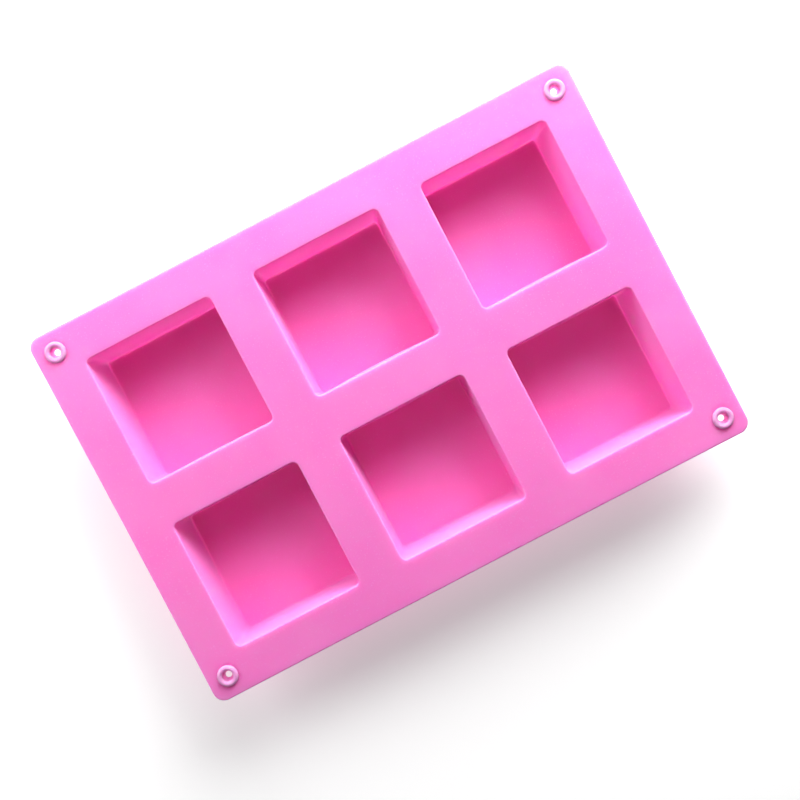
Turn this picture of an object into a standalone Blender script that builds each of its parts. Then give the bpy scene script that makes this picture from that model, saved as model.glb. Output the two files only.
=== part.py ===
"""Six-cavity soap bar mould in pink silicone, modelled as the zones of its one flexible moulding.

X runs along the long side, Y across it and Z up. The wells stand on Z = 0 and their openings are flush
with the top of the deck. The mould folds along the web between its two rows of wells.
"""

import math

import bmesh
import bpy
from mathutils import Vector

# Deck: the flat sheet that joins the wells.
DECK_LENGTH = 0.250
DECK_WIDTH = 0.170
DECK_THICKNESS = 0.0025
DECK_CORNER_RADIUS = 0.005

# Wells: square cups, slightly narrower at the floor so that a bar slips out.
COLUMN_PITCH = 0.078
ROW_PITCH = 0.077
WELL_OPENING = 0.058
WELL_FLOOR_SIDE = 0.0565
WELL_DEPTH = 0.025
WELL_CORNER_RADIUS = 0.0025
FLOOR_FILLET = 0.0008
HEEL_ROUND = 0.0015
WALL_THICKNESS = 0.0015
FLOOR_THICKNESS = 0.002

# Corner eyelets: a hanging hole inside a raised ring, near each corner of the deck.
EYELET_INSET = 0.009
EYELET_RING_RADIUS = 0.0045
EYELET_HOLE_RADIUS = 0.0023
EYELET_THROAT_RADIUS = 0.0013
EYELET_RING_HEIGHT = 0.0013
EYELET_RIM_CHAMFER = 0.0004
CORNER_PAD_SIDE = 0.0145

# Fold: the strip of deck between the rows that bends.
FOLD_WEB_WIDTH = 0.008

# Clearance between neighbouring zones.
ZONE_GAP = 0.0003

# Mesh resolution.
CORNER_SEGMENTS = 5
DECK_CORNER_SEGMENTS = 10
FILLET_SEGMENTS = 4
RING_SEGMENTS = 40
SMOOTH_BELOW_DEGREES = 35

# How far a cutter reaches past the body that it cuts.
CUT_MARGIN = 0.002

# Derived heights and places.
DECK_TOP = FLOOR_THICKNESS + WELL_DEPTH
DECK_UNDERSIDE = DECK_TOP - DECK_THICKNESS
FOLD_AXIS_HEIGHT = DECK_TOP - DECK_THICKNESS / 2
COLUMNS = {"left": -COLUMN_PITCH, "middle": 0.0, "right": COLUMN_PITCH}
ROWS = {"front": -1, "back": 1}
SIDES = {"left": -1, "right": 1}

# Silicone colours: deeper on the wells than on the deck, and lighter on the eyelets.
DECK_PINK = (0.95, 0.33, 0.66, 1.0)
WELL_PINK = (0.92, 0.25, 0.56, 1.0)
EYELET_PINK = (0.96, 0.42, 0.74, 1.0)
SILICONE_ROUGHNESS = 0.45


def clear_scene():
    for obj in list(bpy.data.objects):
        bpy.data.objects.remove(obj)


def silicone(name, colour):
    material = bpy.data.materials.new(name)
    material.use_nodes = True
    shader = material.node_tree.nodes["Principled BSDF"]
    shader.inputs["Base Color"].default_value = colour
    shader.inputs["Roughness"].default_value = SILICONE_ROUGHNESS
    shader.inputs["Metallic"].default_value = 0.0
    material.diffuse_color = colour
    return material


def add_body(name, height):
    """An empty on the fold's axis, which carries one half of the mould."""
    body = bpy.data.objects.new(name, None)
    body.location = (0.0, 0.0, height)
    bpy.context.scene.collection.objects.link(body)
    return body


def add_object(name, bm, centre, body):
    """One object from a mesh built round its own origin, placed at centre in the world."""
    bmesh.ops.recalc_face_normals(bm, faces=bm.faces)
    mesh = bpy.data.meshes.new(name)
    bm.to_mesh(mesh)
    bm.free()
    obj = bpy.data.objects.new(name, mesh)
    bpy.context.scene.collection.objects.link(obj)
    obj.parent = body
    obj.location = Vector(centre) - body.location
    return obj


def paint(obj, colour):
    obj.data.materials.append(silicone(obj.name, colour))


def smooth_round_faces(obj):
    obj.data.shade_smooth()
    obj.data.set_sharp_from_angle(angle=math.radians(SMOOTH_BELOW_DEGREES))


def rounded_square(half_side, radius, height):
    """Points round a square with rounded corners, anticlockwise, centred on the origin."""
    points = []
    reach = half_side - radius
    for quarter, (x_sign, y_sign) in enumerate(((1, 1), (-1, 1), (-1, -1), (1, -1))):
        for step in range(CORNER_SEGMENTS + 1):
            angle = math.pi / 2 * (quarter + step / CORNER_SEGMENTS)
            x = x_sign * reach + radius * math.cos(angle)
            y = y_sign * reach + radius * math.sin(angle)
            points.append(Vector((x, y, height)))
    return points


def circle(radius, height):
    points = []
    for step in range(RING_SEGMENTS):
        angle = 2 * math.pi * step / RING_SEGMENTS
        points.append(Vector((radius * math.cos(angle), radius * math.sin(angle), height)))
    return points


def loft(bm, outlines):
    """Skins a row of outlines and caps both ends."""
    loops = [[bm.verts.new(point) for point in outline] for outline in outlines]
    bm.faces.new(loops[0])
    bm.faces.new(loops[-1])
    count = len(loops[0])
    for lower, upper in zip(loops, loops[1:]):
        for i in range(count):
            following = (i + 1) % count
            bm.faces.new((lower[i], lower[following], upper[following], upper[i]))


def prism(bm, outline, low, high):
    loft(bm, [[Vector((p.x, p.y, z)) for p in outline] for z in (low, high)])


def rectangle(x_low, x_high, y_low, y_high):
    corners = ((x_low, y_low), (x_high, y_low), (x_high, y_high), (x_low, y_high))
    return [Vector((x, y, 0.0)) for x, y in corners]


def cut(obj, cutter):
    cutter.hide_render = True
    cutter.display_type = "WIRE"
    boolean = obj.modifiers.new("cut", "BOOLEAN")
    boolean.operation = "DIFFERENCE"
    boolean.solver = "EXACT"
    boolean.object = cutter


def make_well(row, column, body):
    """A square cup: outer wall up, over the rim, down the inner wall and round the floor's fillet."""
    top_half = WELL_OPENING / 2
    floor_half = WELL_FLOOR_SIDE / 2
    outer_radius = WELL_CORNER_RADIUS + WALL_THICKNESS
    outlines = [
        rounded_square(floor_half + WALL_THICKNESS - HEEL_ROUND, outer_radius - HEEL_ROUND, 0.0),
        rounded_square(floor_half + WALL_THICKNESS, outer_radius, HEEL_ROUND),
        rounded_square(top_half + WALL_THICKNESS, outer_radius, DECK_TOP),
        rounded_square(top_half, WELL_CORNER_RADIUS, DECK_TOP),
    ]
    for step in range(FILLET_SEGMENTS + 1):
        angle = math.pi / 2 * step / FILLET_SEGMENTS
        inward = FLOOR_FILLET * (1 - math.cos(angle))
        height = FLOOR_THICKNESS + FLOOR_FILLET * (1 - math.sin(angle))
        outlines.append(rounded_square(floor_half - inward, WELL_CORNER_RADIUS - inward, height))
    bm = bmesh.new()
    loft(bm, outlines)
    centre = (COLUMNS[column], ROWS[row] * ROW_PITCH / 2, 0.0)
    well = add_object(f"{row}_{column}_well", bm, centre, body)
    paint(well, WELL_PINK)
    smooth_round_faces(well)


def well_openings(bm, row):
    """The holes in the deck that the three wells of a row stand in."""
    half = WELL_OPENING / 2 + WALL_THICKNESS + ZONE_GAP
    radius = WELL_CORNER_RADIUS + WALL_THICKNESS + ZONE_GAP
    row_centre = Vector((0.0, ROWS[row] * ROW_PITCH / 2, 0.0))
    for column_x in COLUMNS.values():
        shift = row_centre + Vector((column_x, 0.0, 0.0))
        outline = [point + shift for point in rounded_square(half, radius, 0.0)]
        prism(bm, outline, DECK_UNDERSIDE - CUT_MARGIN, DECK_TOP + CUT_MARGIN)


def corner_notches(bm, row):
    """The two corners of the deck that the eyelet pads fill."""
    x_inner = DECK_LENGTH / 2 - CORNER_PAD_SIDE
    x_outer = DECK_LENGTH / 2 + CUT_MARGIN
    y_inner = ROWS[row] * (DECK_WIDTH / 2 - CORNER_PAD_SIDE)
    y_outer = ROWS[row] * (DECK_WIDTH / 2 + CUT_MARGIN)
    for side in SIDES.values():
        x_low, x_high = sorted((side * x_inner, side * x_outer))
        y_low, y_high = sorted((y_inner, y_outer))
        outline = rectangle(x_low, x_high, y_low, y_high)
        prism(bm, outline, DECK_UNDERSIDE - CUT_MARGIN, DECK_TOP + CUT_MARGIN)


def make_deck(row, body):
    """Half of the deck sheet, from the fold web to the outer edge, open at its three wells."""
    y_inner = ROWS[row] * (FOLD_WEB_WIDTH / 2 + ZONE_GAP)
    y_outer = ROWS[row] * DECK_WIDTH / 2
    y_low, y_high = sorted((y_inner, y_outer))
    bm = bmesh.new()
    sheet = rectangle(-DECK_LENGTH / 2, DECK_LENGTH / 2, y_low, y_high)
    prism(bm, sheet, DECK_UNDERSIDE, DECK_TOP)
    deck = add_object(f"{row}_deck", bm, (0.0, 0.0, 0.0), body)
    paint(deck, DECK_PINK)

    cutter_mesh = bmesh.new()
    well_openings(cutter_mesh, row)
    corner_notches(cutter_mesh, row)
    cutter = add_object(f"{row}_deck_cutter", cutter_mesh, (0.0, 0.0, 0.0), body)
    cut(deck, cutter)


def make_fold_web(body):
    """The strip between the rows, which bends when the mould is folded."""
    half = FOLD_WEB_WIDTH / 2
    bm = bmesh.new()
    strip = rectangle(-DECK_LENGTH / 2, DECK_LENGTH / 2, -half, half)
    prism(bm, strip, DECK_UNDERSIDE, DECK_TOP)
    web = add_object("fold_web", bm, (0.0, 0.0, 0.0), body)
    paint(web, DECK_PINK)


def corner_pad_outline(x_sign, y_sign):
    """The deck's corner round the eyelet's centre: two straight outer edges that meet in a round corner."""
    outer = EYELET_INSET
    inner = CORNER_PAD_SIDE - EYELET_INSET - ZONE_GAP
    arc_centre = outer - DECK_CORNER_RADIUS
    points = [Vector((-inner, -inner, 0.0)), Vector((outer, -inner, 0.0))]
    for step in range(DECK_CORNER_SEGMENTS + 1):
        angle = math.pi / 2 * step / DECK_CORNER_SEGMENTS
        x = arc_centre + DECK_CORNER_RADIUS * math.cos(angle)
        y = arc_centre + DECK_CORNER_RADIUS * math.sin(angle)
        points.append(Vector((x, y, 0.0)))
    points.append(Vector((-inner, outer, 0.0)))
    return [Vector((x_sign * p.x, y_sign * p.y, 0.0)) for p in points]


def make_corner_eyelet(row, side, body):
    """A corner of the deck with the raised ring round its hanging hole."""
    x_sign = SIDES[side]
    y_sign = ROWS[row]
    centre = (
        x_sign * (DECK_LENGTH / 2 - EYELET_INSET),
        y_sign * (DECK_WIDTH / 2 - EYELET_INSET),
        0.0,
    )
    name = f"{row}_{side}_corner_eyelet"
    bm = bmesh.new()
    prism(bm, corner_pad_outline(x_sign, y_sign), DECK_UNDERSIDE, DECK_TOP)
    eyelet = add_object(name, bm, centre, body)
    paint(eyelet, EYELET_PINK)

    # The ring starts inside the pad, so that the union makes one body of the two.
    ring_mesh = bmesh.new()
    ring_start = DECK_TOP - DECK_THICKNESS / 2
    ring_top = DECK_TOP + EYELET_RING_HEIGHT
    loft(
        ring_mesh,
        [
            circle(EYELET_RING_RADIUS, ring_start),
            circle(EYELET_RING_RADIUS, ring_top - EYELET_RIM_CHAMFER),
            circle(EYELET_RING_RADIUS - EYELET_RIM_CHAMFER, ring_top),
        ],
    )
    ring = add_object(f"{name}_ring", ring_mesh, centre, body)
    ring.hide_render = True
    ring.display_type = "WIRE"
    union = eyelet.modifiers.new("ring", "BOOLEAN")
    union.operation = "UNION"
    union.solver = "EXACT"
    union.object = ring

    # The hole is straight through the ring and narrows through the deck to a throat at its underside.
    hole_mesh = bmesh.new()
    loft(
        hole_mesh,
        [
            circle(EYELET_THROAT_RADIUS, DECK_UNDERSIDE - CUT_MARGIN),
            circle(EYELET_THROAT_RADIUS, DECK_UNDERSIDE),
            circle(EYELET_HOLE_RADIUS, DECK_TOP),
            circle(EYELET_HOLE_RADIUS, ring_top + CUT_MARGIN),
        ],
    )
    cut(eyelet, add_object(f"{name}_hole", hole_mesh, centre, body))


def make_mould():
    front_half = add_body("front_half", FOLD_AXIS_HEIGHT)
    back_half = add_body("back_half", FOLD_AXIS_HEIGHT)
    halves = {"front": front_half, "back": back_half}
    make_fold_web(front_half)
    for row, body in halves.items():
        make_deck(row, body)
        for column in COLUMNS:
            make_well(row, column, body)
        for side in SIDES:
            make_corner_eyelet(row, side, body)


clear_scene()
make_mould()
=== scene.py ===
"""The looks of a six-cavity soap bar mould: one seamless skin of pink silicone and four raised rings."""

import math
from collections import namedtuple

import bmesh
import bpy
from mathutils import Matrix, Vector, geometry, noise


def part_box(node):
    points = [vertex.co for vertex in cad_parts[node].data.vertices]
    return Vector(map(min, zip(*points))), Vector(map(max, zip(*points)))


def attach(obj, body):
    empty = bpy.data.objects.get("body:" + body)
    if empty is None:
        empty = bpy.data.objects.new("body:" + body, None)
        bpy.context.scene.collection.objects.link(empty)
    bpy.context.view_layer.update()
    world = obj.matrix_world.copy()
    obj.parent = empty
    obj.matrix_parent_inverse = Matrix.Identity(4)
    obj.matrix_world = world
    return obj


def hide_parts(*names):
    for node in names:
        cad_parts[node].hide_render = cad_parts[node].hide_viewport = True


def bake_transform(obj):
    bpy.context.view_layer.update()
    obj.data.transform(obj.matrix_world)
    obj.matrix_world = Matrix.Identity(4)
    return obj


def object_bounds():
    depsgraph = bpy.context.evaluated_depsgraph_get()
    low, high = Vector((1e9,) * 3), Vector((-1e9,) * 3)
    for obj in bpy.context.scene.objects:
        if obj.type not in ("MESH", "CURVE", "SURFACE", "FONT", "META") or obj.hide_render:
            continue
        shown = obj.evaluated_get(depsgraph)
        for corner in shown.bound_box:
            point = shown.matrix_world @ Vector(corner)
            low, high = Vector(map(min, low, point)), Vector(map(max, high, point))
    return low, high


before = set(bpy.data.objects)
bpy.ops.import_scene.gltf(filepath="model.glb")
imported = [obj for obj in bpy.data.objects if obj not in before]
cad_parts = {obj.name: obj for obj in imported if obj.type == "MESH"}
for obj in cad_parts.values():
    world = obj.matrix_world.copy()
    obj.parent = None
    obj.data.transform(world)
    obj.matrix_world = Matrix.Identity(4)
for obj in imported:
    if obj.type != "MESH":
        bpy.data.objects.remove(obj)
cad_low, cad_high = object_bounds()

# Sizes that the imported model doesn't state by itself, in metres.
WALL = 0.0015
FLOOR = 0.002
DRAFT = 0.00075
WELL_CORNER = 0.0025
RIM_FILLET = 0.0004
FLOOR_FILLET = 0.0008
ROOT_FILLET = 0.001
HEEL_FILLET = 0.002
DECK_CORNER = 0.005
DECK_EDGE_ROUND = 0.0006
OUTLINE_GROWTH = 0.0002
EYELET_INSET = 0.0092
HOLE_RADIUS = 0.0023
THROAT_RADIUS = 0.0013
HOLE_GAP = 0.00015
THROAT_FLARE = 0.0003
RING_RADIUS = 0.0045
RING_EDGE_ROUND = 0.00105
RING_SINK = 0.0003

# How far the soft moulding is from its drawing.
WALL_BOW = 0.0006
BOW_SPREAD = 0.8
EDGE_BOW = 0.0002
DECK_WAVE = 0.00025
WAVE_LENGTH = 0.045
FLOOR_RISE = 0.0002
CALM_NEAR_RING = 0.006
CALM_END = 0.016

# How finely the skin is divided. The support loops keep the flat faces' shading flat beside the fillets.
OUTLINE_STEP = 0.0015
SIDE_STEPS = 14
CORNER_STEPS = 6
DECK_CORNER_STEPS = 12
FILLET_STEPS = 4
WALL_STEPS = 7
CIRCLE_STEPS = 40
GRID = 0.003
FOLD_GRID = 0.0012
GRID_MARGIN = 0.45 * GRID
SUPPORT = 0.0004
FILL_INSIDE = 1
FILL_MERGE = 1e-7

# The silicone. A pattern has a scale per metre, a number of finer octaves and its own place in the noise.
Pattern = namedtuple("Pattern", "scale detail offset")
CLOUDS = Pattern(28.0, 3.0, 0.31)
SPECKLE = Pattern(1400.0, 2.0, 0.73)
MARKS = Pattern(70.0, 5.0, 0.17)
RIPPLES = Pattern(120.0, 2.0, 0.51)
GRAIN = Pattern(2400.0, 4.0, 0.89)
CLOUD_RANGE = (0.32, 0.68)
SPECKLE_RANGE = (0.60, 0.74)
MARK_RANGE = (0.35, 0.70)
PATTERN_ROUGHNESS = 0.55
RIPPLE_HEIGHT = 0.00006
GRAIN_HEIGHT = 0.00002
BUMP_STRENGTH = 0.5
REST_PLACE = "rest_place"
SILICONE_IOR = 1.41
SCATTER_SHARE = 0.85
SCATTER_MM = (4.0, 6.0, 4.2)
METRES_PER_MM = 0.001

# Two finishes of the same silicone: the colours of its speckles, its body and its clouds, and its gloss. The
# rings' colours are painted lighter than the body's.
Finish = namedtuple("Finish", "name pale plain deep roughness specular")
BODY = Finish(
    "pink_silicone", (0.99, 0.31, 0.69, 1), (0.985, 0.25, 0.63, 1), (0.98, 0.22, 0.61, 1), (0.54, 0.68), 0.25
)
# The rings' lighter colours are a painted highlight: they stand in for the light that the raised, rounded
# rings catch, not for a paler silicone.
RINGS_PAINTED_LIGHTER = Finish(
    "ring_silicone_painted_lighter", (0.98, 0.41, 0.74, 1), (0.97, 0.36, 0.70, 1), (0.96, 0.33, 0.68, 1), (0.62, 0.74), 0.15
)

# Studio lights: name, compass bearing from the back, height in degrees, and power in watts.
LIGHT_DISTANCE = 0.65
LIGHT_SIZE = 0.5
LIGHTS = (
    ("back_key", 20, 25, 4.2),
    ("side_key", 45, 25, 6.2),
    ("left_key", -50, 25, 2.3),
    ("high_left", -15, 45, 0.4),
)

# The pale surround: a backdrop that lights from near the horizon, and a floor that glows a little by itself.
BAND_LIGHT = 0.6
BAND_FULL_BELOW = 0.12
BAND_GONE_ABOVE = 0.42
BACKDROP = 0.8
FLOOR_HALF_SIDE = 3.0
FLOOR_GREY = 0.9
FLOOR_ROUGHNESS = 0.8
FLOOR_GLOW = (0.42, 0.72)
FLOOR_GLOW_REACH = (0.25, 1.2)
WHITE = (1, 1, 1, 1)

# The camera looks almost straight down, turned so that the mould lies aslant in the picture.
CAMERA_LENS = 38.93
CAMERA_SENSOR = 36.0
CAMERA_PLACE = (0.0047, 0.0009)
CAMERA_ABOVE_DECK = 0.3580
CAMERA_RIGHT = (0.8861, -0.4635, 0.0014)
CAMERA_BACK = (0.0105, 0.0230, 0.9997)

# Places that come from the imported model.
deck_low, deck_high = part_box("front_deck")
DECK_TOP = deck_high.z
DECK_UNDER = deck_low.z
HALF_LENGTH = (cad_high.x - cad_low.x) / 2 + OUTLINE_GROWTH
HALF_WIDTH = (cad_high.y - cad_low.y) / 2 + OUTLINE_GROWTH
ROWS = {"front": -1, "back": 1}
COLUMNS = ("left", "middle", "right")
SIDES = {"left": -1, "right": 1}
WELLS = [f"{row}_{column}_well" for row in ROWS for column in COLUMNS]


def well_place(node):
    """Centre of a well and half of its outer width at the rim."""
    low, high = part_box(node)
    return (low.x + high.x) / 2, (low.y + high.y) / 2, (high.x - low.x) / 2


WELL_PLACES = [well_place(node) for node in WELLS]
RIM_HALF = WELL_PLACES[0][2] - WALL
FOLD_HALF = min(abs(y) for _, y, _ in WELL_PLACES) - RIM_HALF - WALL
HOLES = {
    (row, side): (x_sign * (HALF_LENGTH - EYELET_INSET), y_sign * (HALF_WIDTH - EYELET_INSET))
    for row, y_sign in ROWS.items()
    for side, x_sign in SIDES.items()
}


def rounded_rectangle(centre_x, centre_y, half_x, half_y, radius, steps_x, steps_y, corner_steps):
    """Points round a rectangle with round corners, anticlockwise from the right side's upper end."""
    points = []
    reach_x = half_x - radius
    reach_y = half_y - radius
    corners = ((1, 1, 0), (-1, 1, 1), (-1, -1, 2), (1, -1, 3))
    for x_sign, y_sign, turn in corners:
        for step in range(corner_steps + 1):
            angle = math.pi / 2 * (turn + step / corner_steps)
            x = x_sign * reach_x + radius * math.cos(angle)
            y = y_sign * reach_y + radius * math.sin(angle)
            points.append((centre_x + x, centre_y + y))
        last_x, last_y = points[-1]
        along_x = turn in (0, 2)
        steps = steps_x if along_x else steps_y
        next_x = centre_x + (-x_sign * reach_x if along_x else x_sign * half_x)
        next_y = centre_y + (y_sign * half_y if along_x else -y_sign * reach_y)
        for step in range(1, steps):
            share = step / steps
            points.append((last_x + (next_x - last_x) * share, last_y + (next_y - last_y) * share))
    return points


def circle(centre_x, centre_y, radius):
    turns = [2 * math.pi * step / CIRCLE_STEPS for step in range(CIRCLE_STEPS)]
    return [(centre_x + radius * math.cos(a), centre_y + radius * math.sin(a)) for a in turns]


def ring_of(bm, outline, height):
    return [bm.verts.new((x, y, height)) for x, y in outline]


def skin_between(bm, rings):
    for first, second in zip(rings, rings[1:]):
        count = len(first)
        for i in range(count):
            after = (i + 1) % count
            bm.faces.new((first[i], first[after], second[after], second[i]))


def grid_points(x_low, x_high, y_values, keep):
    points = []
    count = int((x_high - x_low) / GRID)
    for y in y_values:
        for i in range(1, count):
            x = x_low + (x_high - x_low) * i / count
            if keep(x, y):
                points.append((x, y))
    return points


def fill_flat(bm, outer, holes, inside_points, height):
    """Triangles between a ring of points and the round or square holes in it, with more points inside."""
    rings = [outer] + holes
    verts = [v for ring in rings for v in ring]
    ring_of_vert = [i for i, ring in enumerate(rings) for _ in ring] + [0] * len(inside_points)
    edges = []
    start = 0
    for ring in rings:
        edges += [(start + i, start + (i + 1) % len(ring)) for i in range(len(ring))]
        start += len(ring)
    coords = [Vector(v.co.xy) for v in verts] + [Vector(p) for p in inside_points]
    verts += [bm.verts.new((x, y, height)) for x, y in inside_points]
    made = geometry.delaunay_2d_cdt(coords, edges, [], FILL_INSIDE, FILL_MERGE)
    for face in made[2]:
        corners = [made[3][i][0] for i in face]
        owners = {ring_of_vert[i] for i in corners}
        if len(owners) == 1 and owners != {0}:
            continue  # all three corners on one hole's edge: this triangle lies in the hole
        bm.faces.new([verts[i] for i in corners])


def outline_at(inset):
    """The deck's outline, moved inwards."""
    half_x = HALF_LENGTH - inset
    half_y = HALF_WIDTH - inset
    steps_x = round(2 * (HALF_LENGTH - DECK_CORNER) / OUTLINE_STEP)
    steps_y = round(2 * (HALF_WIDTH - DECK_CORNER) / OUTLINE_STEP)
    return rounded_rectangle(0, 0, half_x, half_y, DECK_CORNER - inset, steps_x, steps_y, DECK_CORNER_STEPS)


def well_square(place, half, radius):
    x, y, _ = place
    return rounded_rectangle(x, y, half, half, radius, SIDE_STEPS, SIDE_STEPS, CORNER_STEPS)


def quarter(steps):
    """Angles through a quarter turn."""
    return [math.pi / 2 * step / steps for step in range(steps + 1)]


def deck_edge(bm):
    """Rings over the deck's round outer edge. Returns the one on its top and the one on its underside."""
    r = DECK_EDGE_ROUND
    profile = [(r + SUPPORT, DECK_TOP)]
    profile += [(r - r * math.sin(a), DECK_TOP - r + r * math.cos(a)) for a in quarter(FILLET_STEPS)]
    profile += [(r - r * math.cos(a), DECK_UNDER + r - r * math.sin(a)) for a in quarter(FILLET_STEPS)]
    profile.append((r + SUPPORT, DECK_UNDER))
    rings = [ring_of(bm, outline_at(inset), height) for inset, height in profile]
    skin_between(bm, rings)
    return rings[0], rings[-1]


def inner_profile():
    """Half width and height of each ring, from the deck's top over the rim to the well's floor."""
    rim = RIM_FILLET
    fillet = FLOOR_FILLET
    floor_half = RIM_HALF - DRAFT
    profile = [(RIM_HALF + rim + SUPPORT, DECK_TOP)]
    profile += [
        (RIM_HALF + rim - rim * math.sin(a), DECK_TOP - rim + rim * math.cos(a))
        for a in quarter(FILLET_STEPS)
    ]
    wall_top = DECK_TOP - rim
    wall_foot = FLOOR + fillet
    for step in range(1, WALL_STEPS):
        share = step / WALL_STEPS
        profile.append((RIM_HALF - DRAFT * share, wall_top + (wall_foot - wall_top) * share))
    profile += [
        (floor_half - fillet + fillet * math.cos(a), FLOOR + fillet - fillet * math.sin(a))
        for a in quarter(FILLET_STEPS)
    ]
    profile.append((floor_half - fillet - SUPPORT, FLOOR))
    return profile


def outer_profile():
    """The same for the well's outside, from the deck's underside down to the foot."""
    root = ROOT_FILLET
    heel = HEEL_FILLET
    top_half = RIM_HALF + WALL
    foot_half = top_half - DRAFT
    profile = [(top_half + root + SUPPORT, DECK_UNDER)]
    profile += [
        (top_half + root - root * math.sin(a), DECK_UNDER - root + root * math.cos(a))
        for a in quarter(FILLET_STEPS)
    ]
    wall_top = DECK_UNDER - root
    for step in range(1, WALL_STEPS):
        share = step / WALL_STEPS
        profile.append((top_half - DRAFT * share, wall_top + (heel - wall_top) * share))
    profile += [
        (foot_half - heel + heel * math.cos(a), heel - heel * math.sin(a)) for a in quarter(FILLET_STEPS)
    ]
    profile.append((foot_half - heel - SUPPORT, 0.0))
    return profile


def well_rings(bm, place, profile, corner_radius, straight_half):
    """One side of a well. Its corners have corner_radius where its half width is straight_half."""
    rings = []
    for half, height in profile:
        radius = corner_radius + half - straight_half
        rings.append(ring_of(bm, well_square(place, half, radius), height))
    skin_between(bm, rings)
    return rings[0], rings[-1]


def well_cap(bm, place, ring, half, height):
    """The flat middle of a well's floor or foot."""
    x, y, _ = place
    reach = half - GRID / 2
    count = int(2 * half / GRID)
    values = [-half + 2 * half * i / count for i in range(1, count)]
    points = [(x + u, y + v) for u in values for v in values if max(abs(u), abs(v)) < reach]
    fill_flat(bm, ring, [], points, height)


def deck_points(well_half):
    """Points inside the deck's flat faces, closer together where the web folds."""

    def keep(x, y):
        inset = DECK_EDGE_ROUND + GRID_MARGIN
        if abs(x) > HALF_LENGTH - inset or abs(y) > HALF_WIDTH - inset:
            return False
        corner_x = abs(x) - (HALF_LENGTH - DECK_CORNER)
        corner_y = abs(y) - (HALF_WIDTH - DECK_CORNER)
        if corner_x > 0 and corner_y > 0 and math.hypot(corner_x, corner_y) > DECK_CORNER - GRID_MARGIN:
            return False
        for centre_x, centre_y, _ in WELL_PLACES:
            if max(abs(x - centre_x), abs(y - centre_y)) < well_half + GRID_MARGIN / 2:
                return False
        return all(math.hypot(x - hole_x, y - hole_y) > RING_RADIUS for hole_x, hole_y in HOLES.values())

    fold_count = round(FOLD_HALF / FOLD_GRID)
    fold_rows = [FOLD_HALF * i / fold_count for i in range(-fold_count, fold_count + 1)]
    side_count = int((HALF_WIDTH - FOLD_HALF) / GRID)
    side_rows = [FOLD_HALF + (HALF_WIDTH - FOLD_HALF) * i / side_count for i in range(1, side_count)]
    rows = fold_rows + side_rows + [-y for y in side_rows]
    return grid_points(-HALF_LENGTH, HALF_LENGTH, rows, keep)


def smoothstep(low, high, value):
    share = min(max((value - low) / (high - low), 0.0), 1.0)
    return share * share * (3 - 2 * share)


def bell(distance, reach):
    """1 at the centre and 0 at the reach."""
    return math.cos(math.pi / 2 * min(abs(distance) / reach, 1.0))


def well_slack(point, place, bows):
    """How far a place in a well lies from the drawing: bowed walls and a floor that rises a little."""
    centre_x, centre_y, outer_half = place
    across = point.x - centre_x
    along = point.y - centre_y
    if max(abs(across), abs(along)) > outer_half or point.z > DECK_UNDER:
        return Vector()
    height_share = min(max((point.z - FLOOR) / (DECK_UNDER - FLOOR), 0.0), 1.0)
    belly = math.sin(math.pi * height_share) ** 2
    slack = Vector()
    if abs(across) > abs(along):
        slack.x = -math.copysign(bows[across > 0] * belly * bell(along, RIM_HALF), across)
    else:
        slack.y = -math.copysign(bows[2 + (along > 0)] * belly * bell(across, RIM_HALF), along)
    near_floor = 1.0 - smoothstep(FLOOR, FLOOR + FLOOR_FILLET, point.z)
    slack.z = FLOOR_RISE * bell(across, RIM_HALF) * bell(along, RIM_HALF) * near_floor
    return slack


def deck_slack(point):
    """How far a place on the deck lies from the drawing: edges drawn in, and a slow wave."""
    slack = Vector()
    outer_x = max(abs(x) + half for x, _, half in WELL_PLACES)
    outer_y = max(abs(y) + half for _, y, half in WELL_PLACES)
    near_end = smoothstep(outer_x, HALF_LENGTH, abs(point.x))
    near_side = smoothstep(outer_y, HALF_WIDTH, abs(point.y))
    slack.x = -math.copysign(EDGE_BOW * near_end * bell(point.y, HALF_WIDTH), point.x)
    slack.y = -math.copysign(EDGE_BOW * near_side * bell(point.x, HALF_LENGTH), point.y)
    to_ring = min(math.hypot(point.x - x, point.y - y) for x, y in HOLES.values())
    freedom = smoothstep(CALM_NEAR_RING, CALM_END, to_ring) * smoothstep(FLOOR, DECK_UNDER, point.z)
    wave = noise.noise(Vector((point.x, point.y, 0)) / WAVE_LENGTH)
    slack.z = DECK_WAVE * wave * freedom
    return slack


def relax(bm):
    """Moves the skin from its drawn shape to the slightly slack one of a soft moulding."""
    bows = [
        [WALL_BOW * (1 + BOW_SPREAD * noise.noise(Vector((index, side, 0.5)))) for side in range(4)]
        for index in range(len(WELL_PLACES))
    ]
    for vert in bm.verts:
        slack = deck_slack(vert.co)
        for place, well_bows in zip(WELL_PLACES, bows):
            slack += well_slack(vert.co, place, well_bows)
        vert.co += slack


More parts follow.
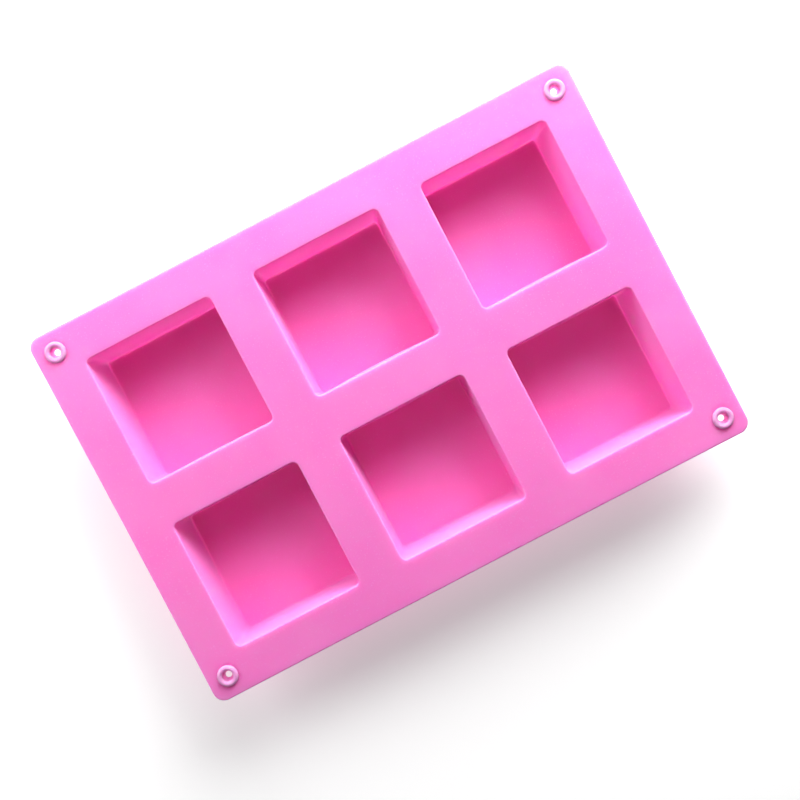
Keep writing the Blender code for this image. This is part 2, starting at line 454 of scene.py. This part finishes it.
def make_skin():
    """Deck, web and wells as one closed skin."""
    bm = bmesh.new()
    top_outline, under_outline = deck_edge(bm)
    inner = inner_profile()
    outer = outer_profile()
    rims = []
    roots = []
    for place in WELL_PLACES:
        rim, floor_ring = well_rings(bm, place, inner, WELL_CORNER, RIM_HALF)
        well_cap(bm, place, floor_ring, inner[-1][0], FLOOR)
        rims.append(rim)
        root, foot_ring = well_rings(bm, place, outer, WELL_CORNER + WALL, RIM_HALF + WALL)
        well_cap(bm, place, foot_ring, outer[-1][0], 0.0)
        roots.append(root)
    hole_profile = (
        (HOLE_RADIUS + HOLE_GAP, DECK_TOP),
        (THROAT_RADIUS, DECK_UNDER + THROAT_FLARE),
        (THROAT_RADIUS + THROAT_FLARE, DECK_UNDER),
    )
    top_holes = []
    under_holes = []
    for x, y in HOLES.values():
        rings = [ring_of(bm, circle(x, y, radius), height) for radius, height in hole_profile]
        skin_between(bm, rings)
        top_holes.append(rings[0])
        under_holes.append(rings[-1])
    fill_flat(bm, top_outline, rims + top_holes, deck_points(inner[0][0]), DECK_TOP)
    fill_flat(bm, under_outline, roots + under_holes, deck_points(outer[0][0]), DECK_UNDER)
    bmesh.ops.recalc_face_normals(bm, faces=bm.faces)
    relax(bm)
    return object_from(bm, "silicone_mould")


def object_from(bm, name):
    """A smooth object from a mesh that also remembers where each of its points is at rest."""
    mesh = bpy.data.meshes.new(name)
    bm.to_mesh(mesh)
    bm.free()
    mesh.shade_smooth()
    at_rest = mesh.attributes.new(REST_PLACE, "FLOAT_VECTOR", "POINT")
    at_rest.data.foreach_set("vector", [value for vertex in mesh.vertices for value in vertex.co])
    obj = bpy.data.objects.new(name, mesh)
    bpy.context.scene.collection.objects.link(obj)
    return obj


def make_ring(name, x, y):
    """The raised ring round a hanging hole, sunk a little into the deck."""
    top = cad_high.z
    r = RING_EDGE_ROUND
    sink = DECK_TOP - RING_SINK
    steps = quarter(FILLET_STEPS)
    profile = [(RING_RADIUS, sink)]
    profile += [(RING_RADIUS - r + r * math.cos(a), top - r + r * math.sin(a)) for a in steps]
    profile += [(HOLE_RADIUS + r - r * math.sin(a), top - r + r * math.cos(a)) for a in steps]
    profile.append((HOLE_RADIUS, sink))
    bm = bmesh.new()
    rings = [ring_of(bm, circle(x, y, radius), height) for radius, height in profile]
    skin_between(bm, rings + [rings[0]])
    bmesh.ops.recalc_face_normals(bm, faces=bm.faces)
    return object_from(bm, name)


def noise_texture(tree, pattern):
    """Noise that stays with the silicone when it bends: it reads each place as it is at rest."""
    place = tree.nodes.new("ShaderNodeAttribute")
    place.attribute_name = REST_PLACE
    moved = tree.nodes.new("ShaderNodeVectorMath")
    moved.operation = "ADD"
    moved.inputs[1].default_value = (pattern.offset, -pattern.offset, 2 * pattern.offset)
    texture = tree.nodes.new("ShaderNodeTexNoise")
    texture.inputs["Scale"].default_value = pattern.scale
    texture.inputs["Detail"].default_value = pattern.detail
    texture.inputs["Roughness"].default_value = PATTERN_ROUGHNESS
    tree.links.new(place.outputs["Vector"], moved.inputs[0])
    tree.links.new(moved.outputs["Vector"], texture.inputs["Vector"])
    return texture.outputs["Fac"]


def spread(tree, value, from_range, to_range):
    """One range of a value, stretched smoothly over another range."""
    node = tree.nodes.new("ShaderNodeMapRange")
    node.interpolation_type = "SMOOTHSTEP"
    names = ("From Min", "From Max", "To Min", "To Max")
    for name, number in zip(names, (*from_range, *to_range)):
        node.inputs[name].default_value = number
    tree.links.new(value, node.inputs["Value"])
    return node.outputs["Result"]


def mixed(tree, factor, first, second):
    node = tree.nodes.new("ShaderNodeMix")
    node.data_type = "RGBA"
    tree.links.new(factor, node.inputs["Factor"])
    for socket, colour in ((node.inputs["A"], first), (node.inputs["B"], second)):
        if isinstance(colour, tuple):
            socket.default_value = colour
        else:
            tree.links.new(colour, socket)
    return node.outputs["Result"]


def bumped(tree, height, distance, under=None):
    node = tree.nodes.new("ShaderNodeBump")
    node.inputs["Strength"].default_value = BUMP_STRENGTH
    node.inputs["Distance"].default_value = distance
    tree.links.new(height, node.inputs["Height"])
    if under is not None:
        tree.links.new(under, node.inputs["Normal"])
    return node.outputs["Normal"]


def silicone(finish):
    """Satin silicone: cloudy pigment, a fine speckle, faint handling marks and a fine moulded grain."""
    material = bpy.data.materials.new(finish.name)
    material.use_nodes = True
    tree = material.node_tree
    shader = tree.nodes["Principled BSDF"]
    shader.inputs["IOR"].default_value = SILICONE_IOR
    shader.inputs["Subsurface Weight"].default_value = SCATTER_SHARE
    shader.inputs["Subsurface Radius"].default_value = SCATTER_MM
    shader.inputs["Subsurface Scale"].default_value = METRES_PER_MM
    shader.inputs["Specular IOR Level"].default_value = finish.specular

    clouds = spread(tree, noise_texture(tree, CLOUDS), CLOUD_RANGE, (0.0, 1.0))
    speckle = spread(tree, noise_texture(tree, SPECKLE), SPECKLE_RANGE, (0.0, 1.0))
    cloudy = mixed(tree, clouds, finish.plain, finish.deep)
    colour = mixed(tree, speckle, cloudy, finish.pale)
    tree.links.new(colour, shader.inputs["Base Color"])

    marks = spread(tree, noise_texture(tree, MARKS), MARK_RANGE, finish.roughness)
    tree.links.new(marks, shader.inputs["Roughness"])

    ripples = bumped(tree, noise_texture(tree, RIPPLES), RIPPLE_HEIGHT)
    grain = bumped(tree, noise_texture(tree, GRAIN), GRAIN_HEIGHT, ripples)
    tree.links.new(grain, shader.inputs["Normal"])
    return material


def add_camera():
    data = bpy.data.cameras.new("camera")
    data.sensor_width = CAMERA_SENSOR
    data.lens = CAMERA_LENS
    camera = bpy.data.objects.new("camera", data)
    bpy.context.scene.collection.objects.link(camera)
    back = Vector(CAMERA_BACK).normalized()
    up = back.cross(Vector(CAMERA_RIGHT)).normalized()
    right = up.cross(back)
    place = Matrix((right, up, back)).transposed().to_4x4()
    place.translation = Vector((*CAMERA_PLACE, DECK_TOP + CAMERA_ABOVE_DECK))
    camera.matrix_world = place
    bpy.context.scene.camera = camera


def add_light(name, bearing, height, power):
    """A round soft light that faces the mould."""
    data = bpy.data.lights.new(name, "AREA")
    data.shape = "DISK"
    data.size = LIGHT_SIZE
    data.energy = power
    light = bpy.data.objects.new(name, data)
    a = math.radians(bearing)
    e = math.radians(height)
    direction = Vector((math.cos(e) * math.sin(a), math.cos(e) * math.cos(a), math.sin(e)))
    light.location = LIGHT_DISTANCE * direction
    light.rotation_euler = (-light.location).to_track_quat("-Z", "Y").to_euler()
    bpy.context.scene.collection.objects.link(light)


def add_sky():
    """A plain backdrop that lights the object only from near the horizon."""
    world = bpy.data.worlds.new("studio")
    world.use_nodes = True
    tree = world.node_tree
    direction = tree.nodes.new("ShaderNodeTexCoord")
    parts = tree.nodes.new("ShaderNodeSeparateXYZ")
    tree.links.new(direction.outputs["Generated"], parts.inputs["Vector"])
    light = spread(tree, parts.outputs["Z"], (BAND_FULL_BELOW, BAND_GONE_ABOVE), (BAND_LIGHT, 0.0))
    path = tree.nodes.new("ShaderNodeLightPath")
    seen = tree.nodes.new("ShaderNodeMix")
    seen.inputs["B"].default_value = BACKDROP
    tree.links.new(path.outputs["Is Camera Ray"], seen.inputs["Factor"])
    tree.links.new(light, seen.inputs["A"])
    background = tree.nodes["Background"]
    background.inputs["Color"].default_value = WHITE
    tree.links.new(seen.outputs["Result"], background.inputs["Strength"])
    bpy.context.scene.world = world


def add_floor():
    bm = bmesh.new()
    bmesh.ops.create_grid(bm, x_segments=1, y_segments=1, size=FLOOR_HALF_SIDE)
    floor = object_from(bm, "floor")
    material = bpy.data.materials.new("pale_floor")
    material.use_nodes = True
    tree = material.node_tree
    shader = tree.nodes["Principled BSDF"]
    shader.inputs["Base Color"].default_value = (FLOOR_GREY, FLOOR_GREY, FLOOR_GREY, 1)
    shader.inputs["Roughness"].default_value = FLOOR_ROUGHNESS
    place = tree.nodes.new("ShaderNodeNewGeometry")
    distance = tree.nodes.new("ShaderNodeVectorMath")
    distance.operation = "LENGTH"
    tree.links.new(place.outputs["Position"], distance.inputs[0])
    glow = spread(tree, distance.outputs["Value"], FLOOR_GLOW_REACH, FLOOR_GLOW)
    shader.inputs["Emission Color"].default_value = WHITE
    tree.links.new(glow, shader.inputs["Emission Strength"])
    floor.data.materials.append(material)


def add_studio():
    bpy.context.scene.view_settings.view_transform = "Standard"
    for light in LIGHTS:
        add_light(*light)
    add_sky()
    add_floor()


add_camera()
add_studio()
skin = make_skin()
body_pink = silicone(BODY)
# The rings' finish is painted lighter than the body's, a painted highlight for the light the raised rings
# catch.
ring_pink_painted_lighter = silicone(RINGS_PAINTED_LIGHTER)
skin.data.materials.append(body_pink)
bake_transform(skin)
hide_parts("front_deck", "back_deck", "fold_web", *WELLS)
for (row, side), (x, y) in HOLES.items():
    ring = make_ring(f"{row}_{side}_eyelet_ring", x, y)
    ring.data.materials.append(ring_pink_painted_lighter)
    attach(ring, f"{row}_half")
    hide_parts(f"{row}_{side}_corner_eyelet")
